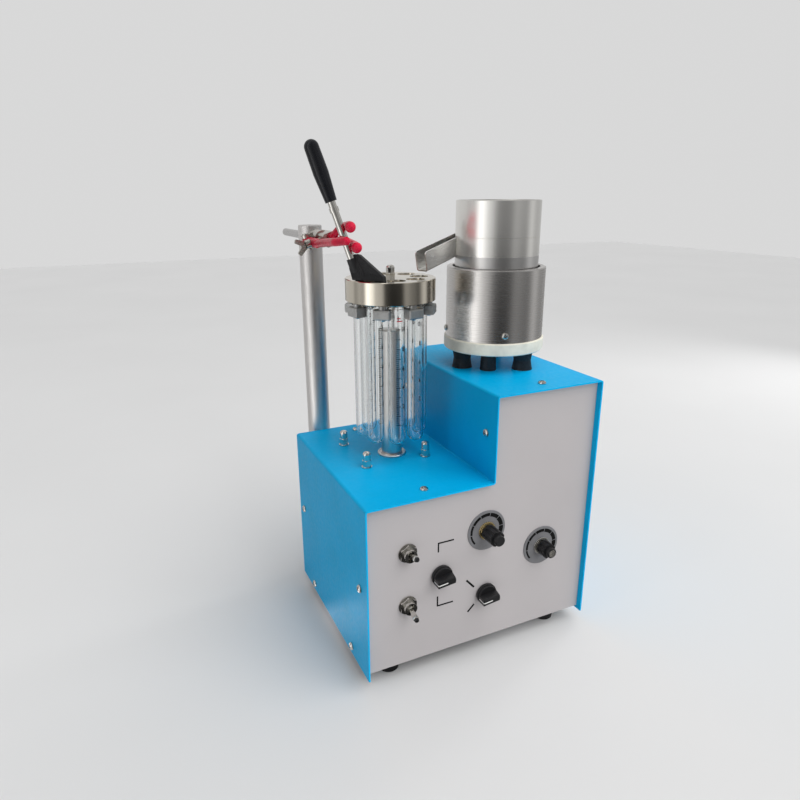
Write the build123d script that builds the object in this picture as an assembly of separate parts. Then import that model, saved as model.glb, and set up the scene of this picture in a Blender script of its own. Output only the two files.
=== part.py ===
from build123d import *
from math import cos, radians, sin, sqrt
import os

# A rotary micro riffler: a small bench machine that splits a powder sample into
# equal parts. A vibrating bowl feeds powder along a chute on to a spinning head,
# which drops it into glass tubes. X runs to the right along the front panel,
# Y runs to the back and Z is up. All lengths are in millimetres.

# Case, one folded sheet with a low deck and a high deck
case_w = 240.0
case_d = 196.0
case_step_x = 124.5
low_deck_h = 170.5
high_deck_h = 251.5
sheet = 1.5
bend_r = 2.5
ground_gap = 12.0
fold_gap = 0.1

# Front and rear panels, set back inside the case
panel_recess = 6.0
panel_lift = 3.5
flange_d = 22.0
flange_relief = 12.0
base_t = 2.0
base_flange_h = 18.0
base_flange_inset = 30.0
foot_r = 11.0
foot_inset_x = 30.0
foot_inset_y = 25.0

# Case screws, pan headed
screw_r = 2.0
screw_head_r = 3.8
screw_head_h = 2.6
screw_len = 8.0
deck_screw_inset = 16.3
side_screw_z = 88.0
step_screw_z = 213.0
base_screw_z = 8.5
base_screw_inset = 41.0

# Spindle and gear motor, under the low deck
spindle_x = 71.1
spindle_y = 104.0
motor_shift_x = -4.8
motor_shift_y = 9.2
gearbox_side = 78.0
gearbox_h = 32.0
motor_r = 37.0
motor_h = 72.0
motor_hole_pitch = 62.0
stud_r = 2.5
nut_lift = 2.6
pilot_r = 11.6
flange_r = 14.0
flange_h = 2.0
column_r = 10.0
column_h = 125.5
output_shaft_r = 5.0
output_shaft_up = 34.0
run_gap = 0.06
head_shaft_r = 2.5
part_gap = 0.3

# Collector head and its tubes
head_r = 41.6
head_h = 20.3
head_lift = 153.1
port_count = 8
port_r = 8.5
tube_circle = 27.0
tube_r = 8.0
tube_wall = 1.2
tube_len = 133.4
tube_rim_r = 9.4
rim_drop = 3.8
throat_r = 6.2
first_tube_angle = 257.0
block_w = 15.2
block_depth = 12.5
block_h = 8.3
block_boss_r = 3.4
block_screw_r = 1.6

# Vibrating feeder, on the high deck
feeder_x = 181.3
feeder_y = 98.0
feeder_foot_r = 10.0
feeder_foot_h = 18.7
feeder_foot_circle = 34.0
feeder_foot_angle = 176.0
wire_bush_circle = 25.0
wire_bush_angle = 228.0
feeder_base_r = 49.3
feeder_base_h = 12.0
drum_r = 47.7
drum_h = 67.5
drum_wall = 1.5
drum_screw_z = 7.5
base_rim_h = 12.0
base_rim_in = 9.0
bowl_r = 40.2
bowl_wall = 1.5
bowl_z = 90.1
bowl_h = 17.3
bowl_floor = 2.0
hopper_h = 32.8
hopper_outlet_r = 11.0
hopper_outlet_gap = 6.0
carrier_h = 20.0
seal_gap = 0.6

# Discharge chute, a sheet channel welded to the bowl
chute_angle = 205.0
chute_w = 12.3
chute_h = 18.2
chute_sheet = 1.2
chute_reach = 72.7
chute_fall = 12.2
chute_drop = 2.8

# Controls on the front panel, heights above the lower edge of the case
toggle_x = 41.0
toggle_z = (118.7, 65.4)
toggle_bush_r = 6.0
toggle_bush_out = 8.0
toggle_lean = 14.0
lever_r = 2.0
lever_tip_r = 2.9
lever_len = 17.0
selector_at = ((74.9, 87.1), (123.3, 54.0))
selector_r = 10.2
selector_out = 14.5
pointer_angle = 186.0
pointer_w = 6.6
dial_at = ((121.8, 121.3), (185.2, 89.6))
dial_r = 20.0
dial_t = 1.0
rate_knob_out = (23.6, 18.8)
rate_knob_r = 7.4
knob_shaft_r = 3.0

# Stand post and the clamp rod that crosses it
post_r = 11.8
post_x = 29.5
post_low = 18.0
post_top = 386.7
saddle_w = 16.0
saddle_h = 20.0
saddle_z = (48.0, 138.0)
rod_z = 375.4
rod_r = 4.0
rod_back = 92.0
rod_gap = 0.05
set_screw_r = 3.0

# Clamp on the rod and the brush in its jaws
clamp_front = 58.3
clamp_roll = 17.0
clamp_len = 40.0
jaw_pivot_side = 10.5
jaw_pivot_back = 35.0
jaw_screw_back = 19.0
jaw_lift = 5.2
jaw_pin_r = 2.0
jaw_screw_r = 2.5
finger_r = 3.6
prong_r = 3.4
prong_ball_r = 4.7
prong_spread = 9.0
jaw_hook = 12.0
brush_tube_r = 3.5
brush_side = -1.2
brush_reach = 49.0
brush_back_lean = 8.0
brush_tube_up = 52.0
grip_low = 37.0
grip_len = 52.0
grip_r = 6.7
brush_t = 6.0
brush_turn = -49.9
brush_lean = 8.7
brush_foot_x = 33.0
brush_foot_y = 97.0

# Power inlet in the rear panel
inlet_x = 196.0
inlet_z = 40.0
inlet_plate = (50.0, 22.5)
inlet_body = (27.5, 20.0)
inlet_cavity = (24.0, 16.5)
inlet_depth = 19.0

# Heights and places worked out from the sizes above
case_z = ground_gap
low_z = case_z + low_deck_h
high_z = case_z + high_deck_h
panel_y = panel_recess
rear_y = case_d - panel_recess
inner = sheet + fold_gap
base_z = case_z + panel_lift - base_t
head_z = low_z + head_lift
head_top = head_z + head_h
column_top = low_z + column_h
tube_top = head_z
block_top = head_z - rim_drop
gear_x = spindle_x + motor_shift_x
gear_y = spindle_y + motor_shift_y
gear_top = low_z - sheet
feeder_z = high_z + feeder_foot_h
drum_z = feeder_z + feeder_base_h
drum_top = drum_z + drum_h
bowl_base_z = feeder_z + bowl_z
bowl_top = bowl_base_z + bowl_h
hopper_top = bowl_top + hopper_h
post_y = case_d + post_r + 0.5
post_z = case_z + post_top
clamp_z = case_z + rod_z
clamp_y = post_y - clamp_front
UP = (Align.CENTER, Align.CENTER, Align.MIN)


def pin(r, h, x=0, y=0, z=0):
    return Pos(x, y, z) * Cylinder(r, h, align=UP)


def pin_y(r, y0, y1, x=0, z=0):
    return extrude(Plane((x, y0, z), z_dir=(0, 1, 0)) * Circle(r), amount=y1 - y0)


def pin_x(r, x0, x1, y=0, z=0):
    return extrude(Plane((x0, y, z), z_dir=(1, 0, 0)) * Circle(r), amount=x1 - x0)


def block(x0, x1, y0, y1, z0, z1):
    return Pos(x0, y0, z0) * Box(x1 - x0, y1 - y0, z1 - z0, align=(Align.MIN,) * 3)


def ring(r_out, r_in, h, x=0, y=0, z=0):
    return pin(r_out, h, x, y, z) - pin(r_in, h, x, y, z)


def turned(points):
    return revolve(Plane.XZ * make_face(Polyline(*points, close=True)), Axis.Z)


def along_y(face, y0, y1):
    return extrude(Plane((0, y0, 0), x_dir=(1, 0, 0), z_dir=(0, -1, 0)) * face, amount=y0 - y1)


def round_places(count, radius, start=0.0):
    step = 360.0 / count
    for i in range(count):
        a = start + i * step
        yield a, radius * cos(radians(a)), radius * sin(radians(a))


def group(shapes):
    return Compound([solid for shape in shapes for solid in shape.solids()])


def stepped_face(inset, low, bend_out, bend_in):
    xs = (inset, case_step_x + inset, case_w - inset)
    top_low = low_z - inset
    top_high = high_z - inset
    corners = [(xs[0], low), (xs[0], top_low), (xs[1], top_low), (xs[1], top_high),
               (xs[2], top_high), (xs[2], low)]
    face = make_face(Polyline(*corners, close=True))
    outer = [corners[1], corners[3], corners[4]]
    picked = [v for v in face.vertices() if any(near(v, c) for c in outer)]
    face = fillet(picked, bend_out)
    notch = [v for v in face.vertices() if near(v, corners[2])]
    return fillet(notch, bend_in)


def near(vertex, corner):
    return abs(vertex.X - corner[0]) < 0.01 and abs(vertex.Y - corner[1]) < 0.01


def case_section(inset, low):
    return stepped_face(inset, low, max(bend_r - inset + 0.8 * fold_gap, 0.4), 1.0 + inset)


def case_screw_places():
    rows = []
    for y in (deck_screw_inset, case_d - deck_screw_inset):
        rows.append((case_step_x / 2, y, low_z, "up"))
        rows.append(((case_step_x + case_w) / 2, y, high_z, "up"))
        rows.append((0.0, y, case_z + side_screw_z, "left"))
        rows.append((case_w, y, case_z + side_screw_z, "right"))
        rows.append((case_step_x, y, case_z + step_screw_z, "left"))
    for y in (base_screw_inset, case_d - base_screw_inset):
        rows.append((0.0, y, case_z + base_screw_z, "left"))
        rows.append((case_w, y, case_z + base_screw_z, "right"))
    return rows


def turned_to(way):
    return {"up": Rot(0, 0, 0), "left": Rot(0, -90, 0), "right": Rot(0, 90, 0)}[way]


def screw_holes(r=screw_r):
    holes = []
    for x, y, z, way in case_screw_places():
        holes.append(Pos(x, y, z) * turned_to(way) * pin(r, 4 * sheet, z=-3 * sheet))
    return holes


def pan_screw(r, head_r, head_h, length):
    head = pin(head_r, head_h)
    head = chamfer(head.edges().sort_by(Axis.Z)[-1], 0.5 * head_h)
    socket = block(-0.55, 0.55, -0.6 * head_r, 0.6 * head_r, 0.5 * head_h, head_h)
    head = head - socket - Rot(0, 0, 90) * socket
    return head + pin(r, length, z=-length)


def make_cover():
    shell = case_section(0, case_z) - case_section(sheet, case_z - 1)
    cover = along_y(shell, 0, case_d)
    holes = screw_holes()
    holes.append(pin(pilot_r + 0.3, 3 * sheet, spindle_x, spindle_y, low_z - 2 * sheet))
    for x, y in stud_places():
        holes.append(pin(stud_r + 0.2, 3 * sheet, x, y, low_z - 2 * sheet))
    for x, y in feeder_foot_places():
        holes.append(pin(2.0, 3 * sheet, x, y, high_z - 2 * sheet))
    x, y = wire_bush_place()
    holes.append(pin(5.2, 3 * sheet, x, y, high_z - 2 * sheet))
    return cover - holes


def panel_blank():
    outer = case_section(inner, case_z + panel_lift)
    plate = along_y(outer, panel_y, panel_y + sheet)
    band = outer - case_section(inner + sheet, case_z)
    rim = along_y(band, panel_y, panel_y + flange_d)
    corners = [(0, case_z), (0, low_z), (case_step_x, low_z), (case_step_x, high_z), (case_w, high_z),
               (case_w, case_z)]
    y0 = panel_y + sheet + bend_r
    reliefs = []
    for x, z in corners:
        half = flange_relief
        reliefs.append(block(x - half, x + half, y0, panel_y + flange_d, z - half, z + half))
    return plate + rim - screw_holes() - reliefs


def make_front_panel():
    panel = panel_blank()
    cuts = []
    for z in toggle_z:
        cuts.append(pin_y(toggle_bush_r + 0.1, 0, panel_y + 2 * sheet, toggle_x, case_z + z))
    for x, z in selector_at + dial_at:
        cuts.append(pin_y(knob_shaft_r + 1.1, 0, panel_y + 2 * sheet, x, case_z + z))
    return panel - cuts


def make_rear_panel():
    panel = Pos(0, case_d, 0) * mirror(panel_blank(), Plane.XZ)
    y0, y1 = rear_y - 2 * sheet, rear_y + sheet
    w, h = inlet_body
    z = case_z + inlet_z
    cuts = [block(inlet_x - w / 2, inlet_x + w / 2, y0, y1, z - h / 2, z + h / 2)]
    for side in (-1, 1):
        cuts.append(pin_y(1.6, y0, y1, inlet_x + side * 20.0, z))
    for saddle in saddle_z:
        cuts.append(pin_y(set_screw_r + 0.2, y0, y1, post_x, case_z + saddle))
    return panel - cuts


def make_base_plate():
    y0 = panel_y + sheet + 1.0
    plate = block(inner, case_w - inner, y0, case_d - y0, base_z, base_z + base_t)
    ya, yb = base_flange_inset, case_d - base_flange_inset
    for x in (inner, case_w - inner - sheet):
        plate += block(x, x + sheet, ya, yb, base_z, base_z + base_flange_h)
    for x, y in foot_places():
        plate -= pin(screw_r, 3 * base_t, x, y, base_z - base_t)
    return plate - screw_holes()


def foot_places():
    for x in (foot_inset_x, case_w - foot_inset_x):
        for y in (foot_inset_y, case_d - foot_inset_y):
            yield x, y


def make_feet():
    feet = []
    h = base_z
    for x, y in foot_places():
        foot = turned([(0, 0), (foot_r - 2.2, 0), (foot_r - 1.4, 0.8), (foot_r, h), (0, h)])
        foot -= pin(screw_head_r + 0.4, h - 5.0)
        foot -= pin(screw_r, h)
        feet.append(Pos(x, y, 0) * foot)
    return group(feet)


def make_foot_screws():
    screw = Rot(180, 0, 0) * pan_screw(screw_r, screw_head_r, screw_head_h, 5.0 + base_t)
    return group([Pos(x, y, base_z - 5.0) * screw for x, y in foot_places()])


def make_case_screws():
    screw = pan_screw(screw_r, screw_head_r, screw_head_h, screw_len)
    return group([Pos(x, y, z) * turned_to(way) * screw for x, y, z, way in case_screw_places()])


def stud_places():
    half = motor_hole_pitch / 2
    for dx in (-half, half):
        for dy in (-half, half):
            yield gear_x + dx, gear_y + dy


def make_gear_motor():
    half = gearbox_side / 2
    box = block(-half, half, -half, half, -gearbox_h, 0)
    box = fillet(box.edges().filter_by(Axis.Z), 6.0)
    box = chamfer(box.faces().sort_by(Axis.Z)[0].edges(), 1.5)
    motor = pin(motor_r, motor_h, z=-gearbox_h - motor_h)
    motor = fillet(motor.edges().sort_by(Axis.Z)[0], 5.0)
    for a, x, y in round_places(24, motor_r):
        motor -= Pos(x, y, -gearbox_h - motor_h / 2) * Rot(0, 0, a) * Box(3, 2.2, motor_h - 24)
    body = Pos(gear_x, gear_y, gear_top) * (box + motor)
    body += pin(pilot_r, sheet, spindle_x, spindle_y, gear_top)
    body -= pin(output_shaft_r + run_gap, 26.0, spindle_x, spindle_y, gear_top + sheet - 25.0)
    for x, y in stud_places():
        body -= pin(stud_r, gearbox_h + 1, x, y, gear_top - gearbox_h - 0.5)
    return body


def make_motor_studs():
    length = gearbox_h + sheet + nut_lift + 9.6
    studs = [pin(stud_r, length, x, y, gear_top - gearbox_h) for x, y in stud_places()]
    heads = [Pos(x, y, gear_top - gearbox_h - 3.5) * hexagon(8.0, 3.5) for x, y in stud_places()]
    return group([stud + head for stud, head in zip(studs, heads)])


def hexagon(across, height):
    return extrude(RegularPolygon(across / sqrt(3), 6), amount=height)


def dome_nut(across, hex_h, total_h, bore_r, bore_h):
    dome_r = 0.475 * across
    straight = total_h - hex_h - 0.5 * dome_r
    nut = hexagon(across, hex_h) & turned(
        [(0, 0), (0.56 * across, 0), (0.585 * across, 0.4), (0.585 * across, hex_h - 0.9),
         (0.5 * across, hex_h), (0, hex_h)])
    dome = pin(dome_r, hex_h * 0.2 + straight + 0.5 * dome_r, z=0.8 * hex_h)
    dome = fillet(dome.edges().sort_by(Axis.Z)[-1], 0.7 * dome_r)
    return nut + dome - pin(bore_r, bore_h)


def make_motor_nuts():
    nut = dome_nut(8.0, 5.0, 13.0, stud_r, 10.2)
    washers = ring(5.0, stud_r + 0.2, 1.0) + ring(4.2, stud_r + 0.2, nut_lift - 1.0, z=1.0)
    parts = []
    for x, y in stud_places():
        parts += [Pos(x, y, low_z) * washers, Pos(x, y, low_z + nut_lift) * nut]
    return group(parts)


def make_spindle_flange():
    r_in = column_r + run_gap
    rim = turned([(r_in, 0), (flange_r, 0), (flange_r, flange_h - 0.6), (flange_r - 0.6, flange_h),
                  (flange_r - 1.4, flange_h), (flange_r - 1.8, flange_h - 0.7),
                  (column_r + 1.2, flange_h - 0.7), (column_r + 0.9, flange_h), (r_in, flange_h)])
    return Pos(spindle_x, spindle_y, low_z) * rim


def make_output_shaft():
    shaft = pin(output_shaft_r, 24.0 + output_shaft_up, z=sheet - 24.0)
    flat = block(4.4, 8, -8, 8, sheet + 3.0, sheet + output_shaft_up)
    return Pos(spindle_x, spindle_y, gear_top) * (shaft - flat)


def make_spindle_column():
    z0 = low_z + part_gap
    column = pin(column_r, column_top - z0, z=z0)
    column = chamfer(column.edges().group_by(Axis.Z)[-1], 0.8)
    bore = pin(output_shaft_r, gear_top + sheet + output_shaft_up - z0 + 1.0, z=z0)
    flat = block(4.4, 8, -8, 8, gear_top + sheet + 3.0, z0 + output_shaft_up + 5)
    column -= bore - flat
    column -= pin(head_shaft_r, 16.0, z=column_top - 16.0)
    return Pos(spindle_x, spindle_y, 0) * column


def make_head_shaft():
    low = column_top - 15.0
    collar = head_z - 8.0
    top = head_top + 9.0
    shape = turned([(0, low), (head_shaft_r, low), (head_shaft_r, collar), (4.6, collar),
                    (4.6, collar + 4.0), (head_shaft_r, collar + 4.0), (head_shaft_r, top), (0, top)])
    return Pos(spindle_x, spindle_y, 0) * shape


def make_collector_head():
    head = turned([(head_shaft_r, -4.0), (6.5, -4.0), (6.5, 0), (head_r - 0.6, 0), (head_r, 0.6),
                   (head_r, head_h - 0.6), (head_r - 0.6, head_h), (head_shaft_r, head_h)])
    for a, x, y in round_places(port_count, 1.0, first_tube_angle):
        head -= Pos(tube_circle * x, tube_circle * y, 0) * Cone(throat_r, port_r, head_h, align=UP)
    step = 360.0 / port_count
    for a, x, y in round_places(port_count, block_boss_circle(), first_tube_angle + step / 2):
        head -= pin(block_screw_r, 8.0, x, y, 0)
    return Pos(spindle_x, spindle_y, head_z) * head


def block_boss_circle():
    return head_r + 0.4 - block_depth / 2


def tube_block():
    outer = head_r + 0.4
    body = block(outer - block_depth, outer, -block_w / 2, block_w / 2, -block_h, 0)
    body = chamfer(body.faces().sort_by(Axis.X)[-1].edges(), 1.0)
    body = chamfer(body.edges().filter_by(Axis.Z).group_by(Axis.X)[0], 0.6)
    x = block_boss_circle()
    body += pin(block_boss_r, rim_drop, x, 0, 0)
    body -= pin(block_screw_r + 0.15, block_h + rim_drop + 2, x, 0, -block_h - 1)
    half = radians(180.0 / port_count)
    for side in (-1, 1):
        tx, ty = tube_circle * cos(half), side * tube_circle * sin(half)
        body -= pin(tube_r + 0.15, block_h + 2, tx, ty, -block_h - 1)
    return body


def block_places():
    step = 360.0 / port_count
    for i in range(port_count):
        yield first_tube_angle + (i + 0.5) * step


def make_tube_blocks():
    piece = tube_block()
    at = Pos(spindle_x, spindle_y, block_top)
    return group([at * Rot(0, 0, a) * piece for a in block_places()])


def make_block_screws():
    screw = Rot(180, 0, 0) * pan_screw(block_screw_r, 2.9, 1.8, block_h + rim_drop + 7.0)
    at = Pos(spindle_x, spindle_y, block_top - block_h)
    return group([at * Rot(0, 0, a) * Pos(block_boss_circle(), 0, 0) * screw for a in block_places()])


def make_test_tube():
    r, w = tube_r, tube_wall
    rim_low = -rim_drop
    bottom = -tube_len
    ri = r - w
    with BuildSketch(Plane.XZ) as profile:
        with BuildLine():
            Line((0, bottom), (0, bottom + w))
            RadiusArc((0, bottom + w), (ri, bottom + r), -ri)
            Line((ri, bottom + r), (ri, 0))
            Line((ri, 0), (tube_rim_r - 0.7, 0))
            Line((tube_rim_r - 0.7, 0), (tube_rim_r, -0.7))
            Line((tube_rim_r, -0.7), (tube_rim_r, rim_low + 0.6))
            Line((tube_rim_r, rim_low + 0.6), (tube_rim_r - 0.6, rim_low))
            Line((tube_rim_r - 0.6, rim_low), (r, rim_low))
            Line((r, rim_low), (r, bottom + r))
            RadiusArc((r, bottom + r), (0, bottom), r)
        make_face()
    return revolve(profile.sketch, Axis.Z)


def make_test_tubes():
    tube = make_test_tube()
    places = round_places(port_count, tube_circle, first_tube_angle)
    return [Pos(spindle_x + x, spindle_y + y, tube_top) * tube for a, x, y in places]


def feeder_foot_places():
    for a, x, y in round_places(3, feeder_foot_circle, feeder_foot_angle):
        yield feeder_x + x, feeder_y + y


def wire_bush_place():
    a = radians(wire_bush_angle)
    return feeder_x + wire_bush_circle * cos(a), feeder_y + wire_bush_circle * sin(a)


def make_feeder_feet():
    foot = turned([(0, 0), (feeder_foot_r, 0), (feeder_foot_r - 0.8, 4.0), (feeder_foot_r - 1.6, 9.3),
                   (feeder_foot_r - 0.8, 14.7), (feeder_foot_r, feeder_foot_h), (0, feeder_foot_h)])
    feet = [Pos(x, y, high_z) * foot for x, y in feeder_foot_places()]
    x, y = wire_bush_place()
    bush = turned([(3.2, -sheet), (5.0, -sheet), (5.0, 0), (8.0, 0), (7.0, feeder_foot_h),
                   (3.2, feeder_foot_h)])
    return group(feet + [Pos(x, y, high_z) * bush])


def make_feeder_base():
    base = pin(feeder_base_r, feeder_base_h)
    base = chamfer(base.edges().group_by(Axis.Z)[-1], 1.0)
    base = chamfer(base.edges().group_by(Axis.Z)[0], 1.0)
    rim_r = drum_r - drum_wall - 0.1
    base += pin(rim_r, 5.0, z=feeder_base_h)
    base += ring(rim_r, drum_r - base_rim_in, base_rim_h, z=feeder_base_h)
    for a in drum_screw_angles():
        hole = Rot(0, 0, a) * pin_x(screw_r + 0.05, drum_r - 7, drum_r, 0, feeder_base_h + drum_screw_z)
        base -= hole
    return Pos(feeder_x, feeder_y, feeder_z) * base


def drum_screw_angles():
    return (160.0, 250.0, 340.0, 70.0)


def make_feeder_drum():
    top = drum_h
    r_in = drum_r - drum_wall
    with BuildSketch(Plane.XZ) as profile:
        with BuildLine():
            Line((r_in, 0), (drum_r, 0))
            Line((drum_r, 0), (drum_r, top - 1.2))
            RadiusArc((drum_r, top - 1.2), (drum_r - 1.2, top), -1.2)
            Line((drum_r - 1.2, top), (bowl_r + 2.2, top))
            Line((bowl_r + 2.2, top), (bowl_r + 2.2, top - 1.5))
            Line((bowl_r + 2.2, top - 1.5), (r_in, top - 1.5))
            Line((r_in, top - 1.5), (r_in, 0))
        make_face()
    drum = revolve(profile.sketch, Axis.Z)
    for a in drum_screw_angles():
        drum -= Rot(0, 0, a) * pin_x(screw_r, drum_r - 8, drum_r + 2, 0, drum_screw_z)
    return Pos(feeder_x, feeder_y, drum_z) * drum


def make_drum_screws():
    screw = pan_screw(screw_r, 3.4, 2.2, 6.0)
    at = Pos(feeder_x, feeder_y, drum_z + drum_screw_z)
    return group([at * Rot(0, 0, a) * Pos(drum_r, 0, 0) * Rot(0, 90, 0) * screw
                  for a in drum_screw_angles()])


def make_feeder_magnet():
    z = drum_z + 5.0
    core = block(-14, 14, -8, 8, 0, 20)
    coil = block(-19, 19, -14, 14, 3, 15)
    coil = fillet(coil.edges().filter_by(Axis.Z), 4.0)
    return Pos(feeder_x, feeder_y, z) * (core + coil)


def make_feeder_springs():
    z0 = drum_z + 5.0
    z1 = bowl_base_z - carrier_h
    lean = 18.0
    springs = []
    for a, x, y in round_places(3, 33.0, 30.0):
        height = z1 - z0
        strip = Rot(lean, 0, 0) * Box(1.0, 12.0, height * 1.3)
        strip &= block(-4, 4, -30, 30, -height / 2, height / 2)
        springs.append(Pos(feeder_x + x, feeder_y + y, (z0 + z1) / 2) * Rot(0, 0, a) * strip)
    return group(springs)


def make_dust_seal():
    z = drum_top - 1.5
    return ring(drum_r - drum_wall - 0.1, bowl_r + seal_gap, 1.5, feeder_x, feeder_y, z - 1.5)


def make_bowl_carrier():
    disc = pin(bowl_r, carrier_h, z=-carrier_h)
    disc = chamfer(disc.edges().group_by(Axis.Z)[0], 1.0)
    disc += block(-13, 13, -7, 7, -carrier_h - 22.0, -carrier_h)
    return Pos(feeder_x, feeder_y, bowl_base_z) * disc


def chute_frame():
    u = (cos(radians(chute_angle)), sin(radians(chute_angle)))
    side = bowl_r - chute_w
    start = sqrt(bowl_r ** 2 - side ** 2)
    n = (u[1], -u[0])
    mid = bowl_r - chute_w / 2
    x = feeder_x + u[0] * start + n[0] * mid
    y = feeder_y + u[1] * start + n[1] * mid
    return Pos(x, y, bowl_base_z - chute_drop) * Rot(0, 0, chute_angle) * Rot(0, chute_fall, 0), start


def make_chute():
    place, start = chute_frame()
    length = (chute_reach - start) / cos(radians(chute_fall))
    back = 30.0
    half = chute_w / 2
    channel = block(-back, length, -half, half, 0, chute_h)
    channel = fillet(channel.edges().filter_by(Axis.X).group_by(Axis.Z)[0], 2.0)
    cavity = chute_cavity(length + 5)
    chute = place * (channel - cavity)
    chute = fillet(mouth_corners(chute), 3.0)
    return chute - pin(bowl_r, 120, feeder_x, feeder_y, bowl_base_z - 60)


def mouth_corners(chute):
    place = chute_frame()[0]
    across = (place * Pos(0, 1, 0)).position - place.position
    edges = [e for e in chute.edges() if abs(abs((e % 0.5).dot(across)) - 1) < 0.001]
    short = [e for e in edges if e.length < 2 * chute_sheet]
    top = sorted(short, key=lambda e: (e @ 0.5 - place.position).dot(Vector(*mouth_way(place))))
    return top[-2:]


def mouth_way(place):
    tip = (place * Pos(1, 0, 0.8)).position - place.position
    return tip.X, tip.Y, tip.Z


def chute_cavity(length):
    half = chute_w / 2 - chute_sheet
    cavity = block(-40, length, -half, half, chute_sheet, chute_h + 20)
    return fillet(cavity.edges().filter_by(Axis.X).group_by(Axis.Z)[0], 1.2)


def make_feed_bowl():
    cup = turned([(0, 0), (bowl_r, 0), (bowl_r, bowl_h - 0.4), (bowl_r - 0.4, bowl_h),
                  (bowl_r - bowl_wall, bowl_h), (bowl_r - bowl_wall, bowl_floor + 1.0),
                  (bowl_r - bowl_wall - 1.0, bowl_floor), (0, bowl_floor)])
    cup = Pos(feeder_x, feeder_y, bowl_base_z) * cup
    place, start = chute_frame()
    window = place * chute_cavity(8.0)
    keep = pin(bowl_r - bowl_wall - 1.0, 60, feeder_x, feeder_y, bowl_base_z - 30)
    window &= Pos(feeder_x, feeder_y, bowl_base_z + bowl_floor) * pin(60, bowl_h - bowl_floor - 1.5)
    return cup - (window - keep)


def make_hopper():
    r_in = bowl_r - bowl_wall
    cone_low = bowl_floor + hopper_outlet_gap - bowl_h
    t = bowl_wall
    spigot = r_in - 0.2
    shape = turned([(bowl_r, 0), (bowl_r, hopper_h - 0.4), (bowl_r - 0.4, hopper_h), (r_in, hopper_h),
                    (r_in, 12.0), (hopper_outlet_r, cone_low), (hopper_outlet_r + t, cone_low),
                    (spigot - 1.6, 5.0), (spigot - 1.6, -3.0), (spigot, -3.0), (spigot, 0)])
    return Pos(feeder_x, feeder_y, bowl_top) * shape


def make_toggle_switches():
    parts = []
    for z in toggle_z:
        y0 = panel_y + sheet
        body = block(toggle_x - 7, toggle_x + 7, y0, y0 + 20, case_z + z - 15, case_z + z + 15)
        body = fillet(body.edges().filter_by(Axis.Y), 1.5)
        body += pin_y(toggle_bush_r, panel_y - toggle_bush_out, y0, toggle_x, case_z + z)
        slot = Pos(toggle_x, toggle_pivot_y(), case_z + z) * Sphere(3.9)
        throat = toggle_throat(z)
        parts.append(body - slot - throat)
    return group(parts)


def toggle_pivot_y():
    return panel_y - toggle_bush_out + 4.2


def toggle_throat(z):
    low = panel_y - toggle_bush_out - 1
    reach = toggle_pivot_y() - low
    wide = (lever_r + 0.5) + reach * sin(radians(toggle_lean)) + 0.6
    half = lever_r + 0.5
    zc = case_z + z
    return block(toggle_x - half, toggle_x + half, low, low + reach, zc - wide, zc + wide)


def make_toggle_lever(z, lean):
    ball = Sphere(3.6)
    stem = Cone(lever_r, lever_tip_r, lever_len - lever_tip_r, align=UP)
    tip = Pos(0, 0, lever_len - lever_tip_r) * Sphere(lever_tip_r)
    tip &= block(-9, 9, -9, 9, lever_len - lever_tip_r - 0.1, lever_len - 0.7)
    lever = Rot(90 - lean, 0, 0) * (ball + stem + tip)
    return Pos(toggle_x, toggle_pivot_y(), case_z + z) * lever


def make_control_nuts():
    parts = []
    y = panel_y - 0.1
    for z in toggle_z:
        washer = pin_y(9.0, y - 1.0, y, toggle_x, case_z + z)
        nut = Pos(toggle_x, y - 1.0, case_z + z) * Rot(90, 0, 30) * hexagon(15.0, 2.6)
        hole = pin_y(toggle_bush_r, y - 6, y + 1, toggle_x, case_z + z)
        parts += [washer - hole, nut - hole]
    for x, z in dial_at:
        y0 = panel_y - dial_t
        nut = Pos(x, y0, case_z + z) * Rot(90, 0, 0) * hexagon(11.0, 2.4)
        parts.append(nut - pin_y(pot_bush_r(), y0 - 5, y0 + 1, x, case_z + z))
    return group(parts)


def pot_bush_r():
    return knob_shaft_r + 1.0


def make_selector_switches():
    parts = []
    for x, z in selector_at:
        y0 = panel_y + sheet
        can = pin_y(13.0, y0, y0 + 16, x, case_z + z)
        can += pin_y(pot_bush_r(), panel_y - 0.6, y0, x, case_z + z)
        parts.append(can - pin_y(knob_shaft_r + run_gap, panel_y - 1, y0 + 10, x, case_z + z))
    return group(parts)


def make_potentiometers():
    parts = []
    for x, z in dial_at:
        y0 = panel_y + sheet
        can = pin_y(12.0, y0, y0 + 11, x, case_z + z)
        can += block(x - 7, x + 7, y0, y0 + 5, case_z + z - 17, case_z + z)
        can += pin_y(pot_bush_r(), panel_y - dial_t - 3.4, y0, x, case_z + z)
        parts.append(can - pin_y(knob_shaft_r + run_gap, panel_y - 9, y0 + 7, x, case_z + z))
    return group(parts)


def make_dial_plates():
    parts = []
    for x, z in dial_at:
        plate = pin_y(dial_r, panel_y - dial_t, panel_y, x, case_z + z)
        plate = chamfer(plate.edges().group_by(Axis.Y)[0], 0.3)
        parts.append(plate - pin_y(pot_bush_r() + 0.1, panel_y - 2, panel_y + 1, x, case_z + z))
    return group(parts)


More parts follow.
